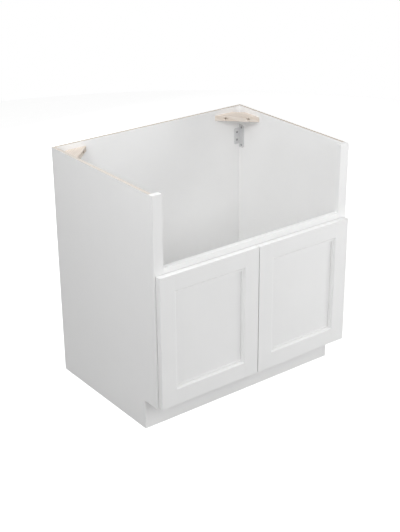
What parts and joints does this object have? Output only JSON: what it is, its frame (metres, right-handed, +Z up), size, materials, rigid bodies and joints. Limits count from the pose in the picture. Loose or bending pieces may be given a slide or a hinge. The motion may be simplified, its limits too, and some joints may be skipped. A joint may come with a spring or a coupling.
{
  "type": "sink base cabinet",
  "caption": "White framed kitchen base cabinet with an open top, a cut-away front for an apron sink, a toe kick and recessed-panel doors on concealed hinges.",
  "frame": {"origin": "on the floor, under the middle of the closed cabinet's bounding box", "axes": "+X to the right as one faces the doors, +Y from the doors to the back, +Z up"},
  "size_m": [0.8382, 0.6258, 0.8763],
  "materials": {
    "white_paint": "satin white paint on wood and plywood",
    "bare_wood": "bare sawn wood",
    "plated_steel": "zinc plated, pressed",
    "screw_steel": "dark plated",
    "clear_rubber": "translucent soft"
  },
  "bodies": {
    "carcass": {"side_panel_left": "white_paint", "side_panel_right": "white_paint", "back_panel": "white_paint", "bottom_panel": "white_paint", "toe_board": "white_paint", "frame_stile_left": "white_paint", "frame_stile_right": "white_paint", "frame_top_rail": "white_paint", "frame_bottom_rail": "white_paint", "corner_block_left": "bare_wood", "corner_block_right": "bare_wood", "corner_bracket_left": "plated_steel", "corner_bracket_right": "plated_steel", "left_bracket_back_screw_1": "screw_steel", "left_bracket_back_screw_2": "screw_steel", "left_bracket_side_screw_1": "screw_steel", "left_bracket_side_screw_2": "screw_steel", "right_bracket_back_screw_1": "screw_steel", "right_bracket_back_screw_2": "screw_steel", "right_bracket_side_screw_1": "screw_steel", "right_bracket_side_screw_2": "screw_steel", "left_block_back_screw": "screw_steel", "left_block_side_screw": "screw_steel", "right_block_back_screw": "screw_steel", "right_block_side_screw": "screw_steel", "left_upper_hinge_arm": "plated_steel", "left_upper_hinge_frame_pin": "plated_steel", "left_lower_hinge_arm": "plated_steel", "left_lower_hinge_frame_pin": "plated_steel", "right_upper_hinge_arm": "plated_steel", "right_upper_hinge_frame_pin": "plated_steel", "right_lower_hinge_arm": "plated_steel", "right_lower_hinge_frame_pin": "plated_steel"},
    "left_hinge_links": {"left_upper_hinge_link": "plated_steel", "left_lower_hinge_link": "plated_steel"},
    "left_door": {"left_door_hinge_stile": "white_paint", "left_door_free_stile": "white_paint", "left_door_top_rail": "white_paint", "left_door_bottom_rail": "white_paint", "left_door_panel": "white_paint", "left_door_upper_bumper": "clear_rubber", "left_door_lower_bumper": "clear_rubber", "left_upper_hinge_cup": "plated_steel", "left_upper_hinge_door_pin": "plated_steel", "left_lower_hinge_cup": "plated_steel", "left_lower_hinge_door_pin": "plated_steel"},
    "right_hinge_links": {"right_upper_hinge_link": "plated_steel", "right_lower_hinge_link": "plated_steel"},
    "right_door": {"right_door_hinge_stile": "white_paint", "right_door_free_stile": "white_paint", "right_door_top_rail": "white_paint", "right_door_bottom_rail": "white_paint", "right_door_panel": "white_paint", "right_door_upper_bumper": "clear_rubber", "right_door_lower_bumper": "clear_rubber", "right_upper_hinge_cup": "plated_steel", "right_upper_hinge_door_pin": "plated_steel", "right_lower_hinge_cup": "plated_steel", "right_lower_hinge_door_pin": "plated_steel"}
  },
  "joints": [
    {"name": "left_link_swing", "type": "hinge", "parent": "carcass", "child": "left_hinge_links", "pos_m": [-0.37845, -0.29587, 0.3595], "axis": [0, 0, -1], "range_deg": [-56, 0]},
    {"name": "left_door_swing", "type": "hinge", "parent": "left_hinge_links", "child": "left_door", "pos_m": [-0.39835, -0.29618, 0.3595], "axis": [0, 0, -1], "range_deg": [0, 160]},
    {"name": "right_link_swing", "type": "hinge", "parent": "carcass", "child": "right_hinge_links", "pos_m": [0.37845, -0.29587, 0.3595], "axis": [0, 0, 1], "range_deg": [-56, 0]},
    {"name": "right_door_swing", "type": "hinge", "parent": "right_hinge_links", "child": "right_door", "pos_m": [0.39835, -0.29618, 0.3595], "axis": [0, 0, 1], "range_deg": [0, 160]}
  ],
  "couplings": [
    {"joint": "left_link_swing", "follows": "left_door_swing", "ratio": -0.35},
    {"joint": "right_link_swing", "follows": "right_door_swing", "ratio": -0.35}
  ]
}
